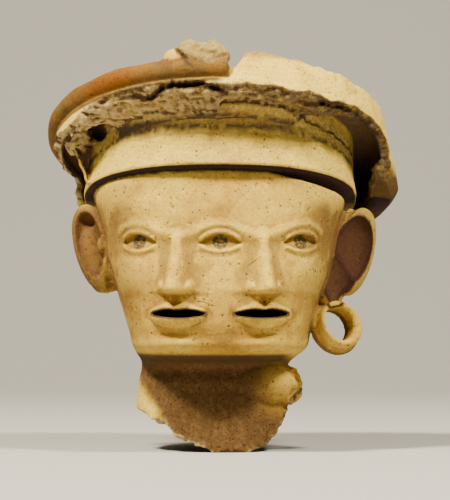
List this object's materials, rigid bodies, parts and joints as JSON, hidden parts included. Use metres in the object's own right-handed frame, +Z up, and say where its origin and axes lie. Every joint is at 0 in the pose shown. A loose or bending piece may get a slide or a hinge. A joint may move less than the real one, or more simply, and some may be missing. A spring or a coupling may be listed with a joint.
{
  "type": "ceramic head",
  "caption": "Hollow fired-clay head of an ancient figure: joined faces sharing an eye, a cap band, a broken hollow turban with a rolled edge, an ear tube and an open broken neck.",
  "frame": {"origin": "middle of the underside of the head's box, on the plane that the broken neck stands on", "axes": "+Z up, the faces look along -Y, the ear tube is on the +X side"},
  "size_m": [0.2096, 0.164, 0.2405],
  "materials": {
    "fired_clay": "matt buff to ochre fired clay, pitted and stained, with brown broken edges"
  },
  "bodies": {
    "root": {"ceramic_head": "fired_clay"}
  },
  "joints": []
}
